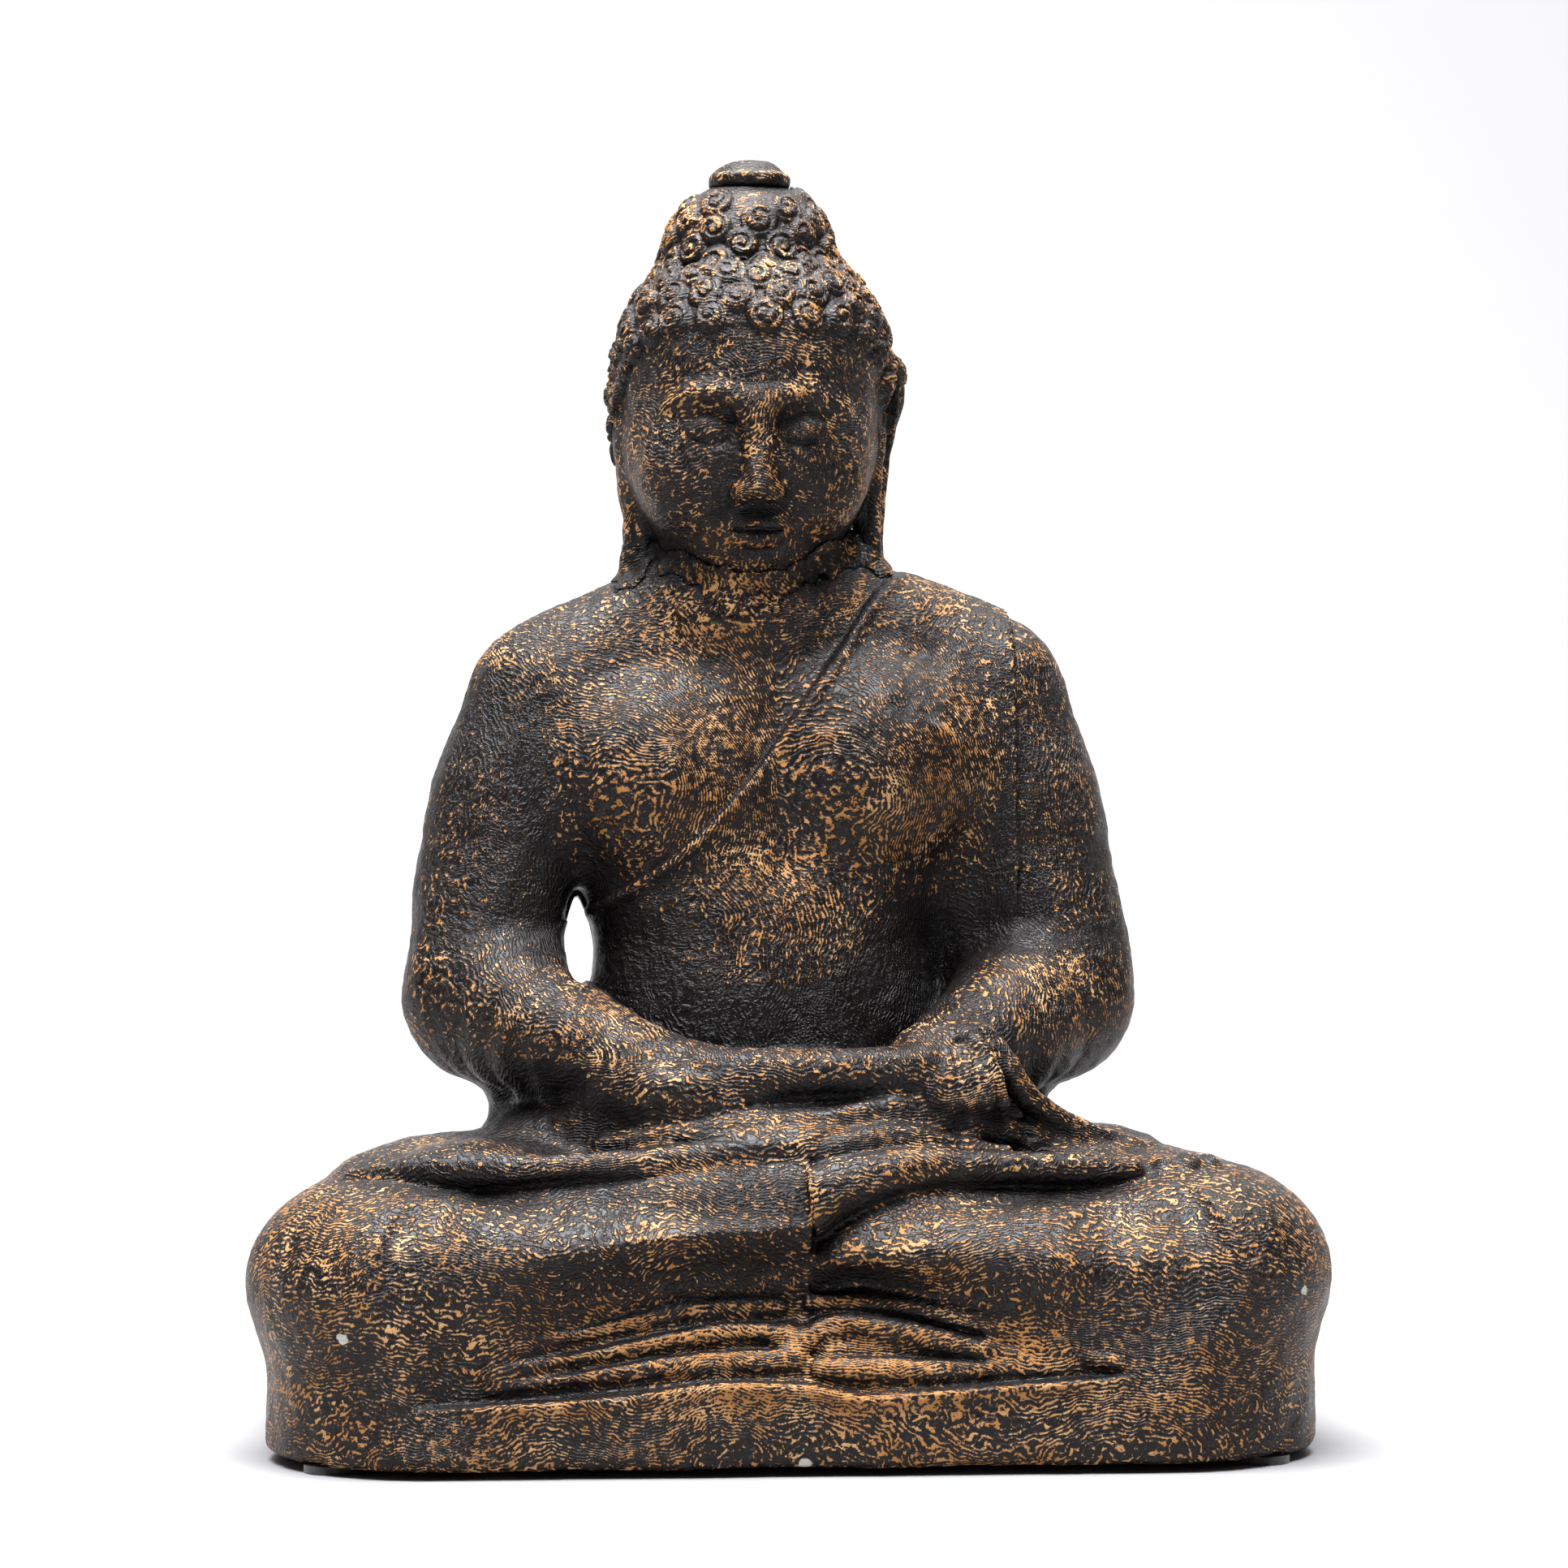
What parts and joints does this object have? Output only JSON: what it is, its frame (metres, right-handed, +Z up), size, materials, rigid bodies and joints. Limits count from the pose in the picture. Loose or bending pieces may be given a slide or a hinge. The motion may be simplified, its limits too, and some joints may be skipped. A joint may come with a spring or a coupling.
{
  "type": "seated buddha statue",
  "caption": "Cross-legged meditating figure cast in cement, hands in the lap, on a plain rounded foot, painted dark brown with gold dry brushing.",
  "frame": {"origin": "centre of the footprint, on the surface that the pads stand on", "axes": "+Z up, -Y the way the figure faces, +X towards the figure's left hand"},
  "size_m": [0.41, 0.235, 0.4998],
  "materials": {
    "painted_cement": "satin dark brown paint with gold-ochre dry brushing",
    "painted_mortar": "ragged trowelled mortar under the same paint",
    "bare_mortar": "rough unpainted mortar",
    "bare_cement": "unpainted cement, screeded flat",
    "reinforcing_steel": "lightly rusted drawn steel",
    "felt": "pressed wool felt"
  },
  "bodies": {
    "root": {"body_front_shell": "painted_cement", "body_rear_shell": "painted_cement", "head_casting": "painted_cement", "crown_finial": "painted_cement", "neck_mortar_collar": "painted_mortar", "seam_band": "bare_mortar", "base_slab": "bare_cement", "dowel_grout": "bare_mortar", "neck_dowel": "reinforcing_steel", "rim_hoop": "reinforcing_steel", "right_arm_rod": "reinforcing_steel", "left_arm_rod": "reinforcing_steel", "foot_pads": "felt"}
  },
  "joints": []
}
